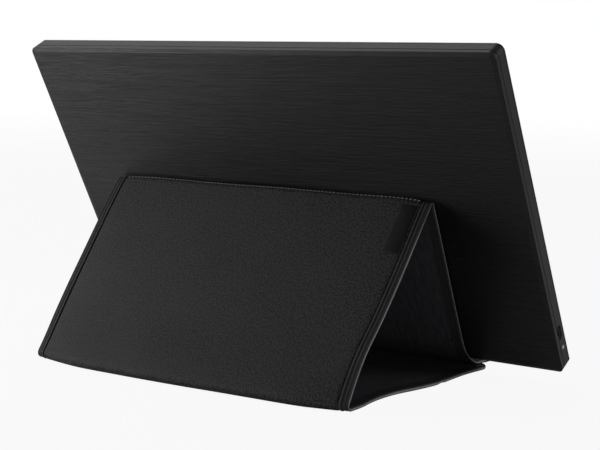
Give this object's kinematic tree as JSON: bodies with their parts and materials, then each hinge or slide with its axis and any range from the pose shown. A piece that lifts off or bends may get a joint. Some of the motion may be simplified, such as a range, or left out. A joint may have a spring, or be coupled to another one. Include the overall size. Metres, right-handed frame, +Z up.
{
  "type": "portable monitor with folding cover",
  "caption": "Slim portable monitor leaning on its folded cover, a strip of hinged stiff panels that stands as a triangular prism.",
  "frame": {"origin": "bottom centre of the whole object, on the table", "axes": "+X along the width of the monitor, to the right as the screen is faced; +Y towards the back, where the cover's prism stands; +Z up"},
  "size_m": [0.3825, 0.2636, 0.2228],
  "materials": {
    "leather": "fine-grained black leatherette, matte",
    "board": "pressed fibreboard core",
    "lining": "soft black brushed lining",
    "thread": "light grey sewing thread",
    "tag": "plain woven tag with nothing on it",
    "magnet": "nickel-plated disc",
    "rail_rubber": "matte moulded rubber",
    "back_plastic": "black, finely brushed across its width",
    "side_plastic": "dark grey, satin",
    "bezel_plastic": "black gloss",
    "screen_glass": "dark anti-glare screen",
    "sheet_white": "white optical film",
    "guide_clear": "clear acrylic light guide",
    "led_strip": "light strip with white emitters",
    "plated_steel": "thin pressed steel",
    "screw_steel": "dark plated screw",
    "circuit_board": "green laminate",
    "chip_black": "black moulding",
    "flat_cable": "flat film cable",
    "light_lens": "small frosted lens",
    "key_plastic": "black, satin"
  },
  "bodies": {
    "rest_flap": {"flap_skin": "leather", "flap_board": "board", "flap_lining": "lining", "flap_binding": "leather", "flap_magnets": "magnet", "support_rail": "rail_rubber", "bend_web": "leather"},
    "rear_panel": {"rear_panel_skin": "leather", "rear_panel_board": "board", "rear_panel_lining": "lining", "rear_panel_binding": "leather"},
    "outer_panel": {"outer_panel_skin": "leather", "outer_panel_board": "board", "outer_panel_lining": "lining", "outer_panel_binding": "leather", "ridge_web": "leather", "ridge_stitching": "thread", "label_tag": "tag"},
    "base_panel": {"base_skin": "leather", "base_board_rear": "board", "base_board_front": "board", "base_lining": "lining", "base_binding": "leather", "base_magnets": "magnet", "heel_web": "leather"},
    "monitor": {"rear_cover": "back_plastic", "middle_frame": "side_plastic", "front_bezel": "bezel_plastic", "lcd_panel": "screen_glass", "diffuser_sheet": "sheet_white", "light_guide": "guide_clear", "led_bar": "led_strip", "reflector_sheet": "sheet_white", "panel_tray": "plated_steel", "tray_clips": "plated_steel", "driver_board": "circuit_board", "panel_cable": "flat_cable", "main_board": "circuit_board", "board_chips": "chip_black", "shield_can": "plated_steel", "board_screws": "screw_steel", "case_screws": "screw_steel", "port_board": "circuit_board", "port_shell": "plated_steel", "port_tongue": "chip_black", "port_cable": "flat_cable", "status_light": "light_lens", "key_board": "circuit_board", "key_switches": "chip_black", "key_cable": "flat_cable"},
    "power_key": {"power_key": "key_plastic"},
    "menu_key": {"menu_key": "key_plastic"}
  },
  "joints": [
    {"name": "monitor_lift", "type": "slide", "parent": "rest_flap", "child": "monitor", "axis": [0, 0.4695, 0.8829], "range_m": [0, 0.15]},
    {"name": "stand_fold", "type": "hinge", "parent": "rest_flap", "child": "rear_panel", "pos_m": [0.00775, -0.02587, 0.00606], "axis": [-1, 0, 0], "range_deg": [0, 64.26], "deforming": ["bend_web"]},
    {"name": "ridge_fold", "type": "hinge", "parent": "rear_panel", "child": "outer_panel", "pos_m": [0.00775, 0.03525, 0.12073], "axis": [1, 0, 0], "range_deg": [0, 115.16], "deforming": ["ridge_web"]},
    {"name": "heel_fold", "type": "hinge", "parent": "outer_panel", "child": "base_panel", "pos_m": [0.00775, 0.13055, 0.00281], "axis": [1, 0, 0], "range_deg": [0, 129.1], "deforming": ["heel_web"]},
    {"name": "power_key_press", "type": "slide", "parent": "monitor", "child": "power_key", "axis": [0, 0.8829, -0.4695], "range_m": [0, 0.0005], "stiffness_N_per_m": 400},
    {"name": "menu_key_press", "type": "slide", "parent": "monitor", "child": "menu_key", "axis": [0, 0.8829, -0.4695], "range_m": [0, 0.0005], "stiffness_N_per_m": 400}
  ],
  "couplings": [
    {"joint": "ridge_fold", "follows": "stand_fold", "ratio": 1.7921},
    {"joint": "heel_fold", "follows": "stand_fold", "ratio": 2.009}
  ]
}
